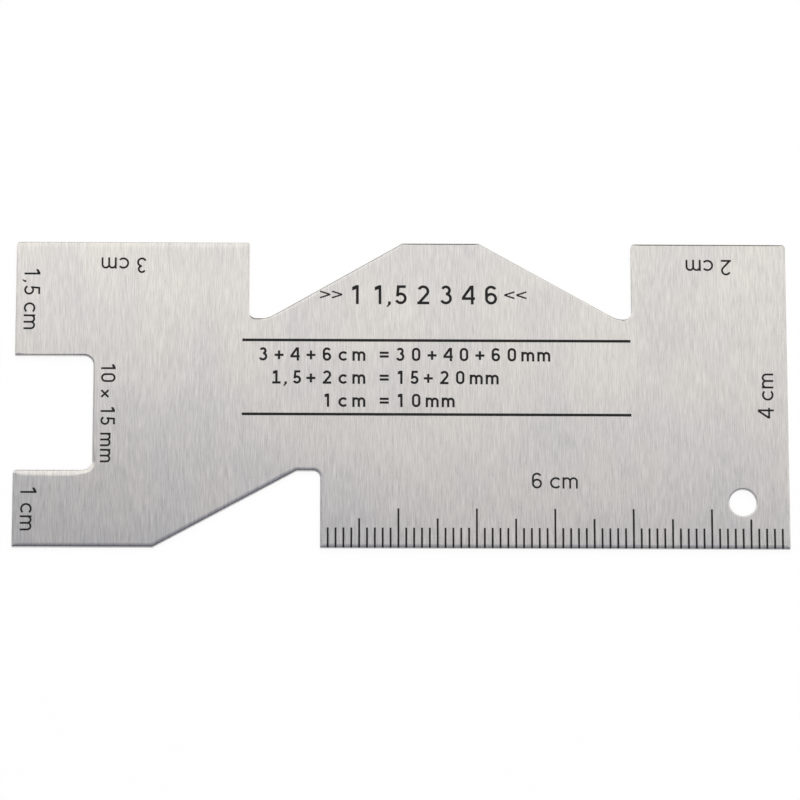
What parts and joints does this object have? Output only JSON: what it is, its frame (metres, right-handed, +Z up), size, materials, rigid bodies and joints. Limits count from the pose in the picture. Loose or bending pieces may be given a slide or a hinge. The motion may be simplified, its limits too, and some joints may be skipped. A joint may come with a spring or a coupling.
{
  "type": "sewing gauge",
  "caption": "Flat steel sewing gauge: stepped tabs and arms of set widths, a slot, a ruler edge with ticks, printed widths and a hanging hole.",
  "frame": {"origin": "under the middle of the gauge, on its lower face", "axes": "+X along the gauge from the arms to the 4 cm side, +Y from the ruler edge to the upper tabs, +Z up out of the printed face"},
  "size_m": [0.0992, 0.04, 0.0006],
  "materials": {
    "steel": "stainless sheet, brushed across the gauge, edges rolled over by blanking and tumbling",
    "ink": "black printing ink, satin"
  },
  "bodies": {
    "root": {"gauge_plate": "steel", "millimetre_ticks": "ink", "half_centimetre_ticks": "ink", "centimetre_ticks": "ink", "label_1_cm": "ink", "label_1_5_cm": "ink", "label_2_cm": "ink", "label_3_cm": "ink", "label_4_cm": "ink", "label_6_cm": "ink", "label_slot": "ink", "table_rule_top": "ink", "table_rule_bottom": "ink", "table_row_3_4_6_cm": "ink", "table_row_1_5_2_cm": "ink", "table_row_1_cm": "ink", "title_chevrons": "ink", "title_widths": "ink"}
  },
  "joints": []
}
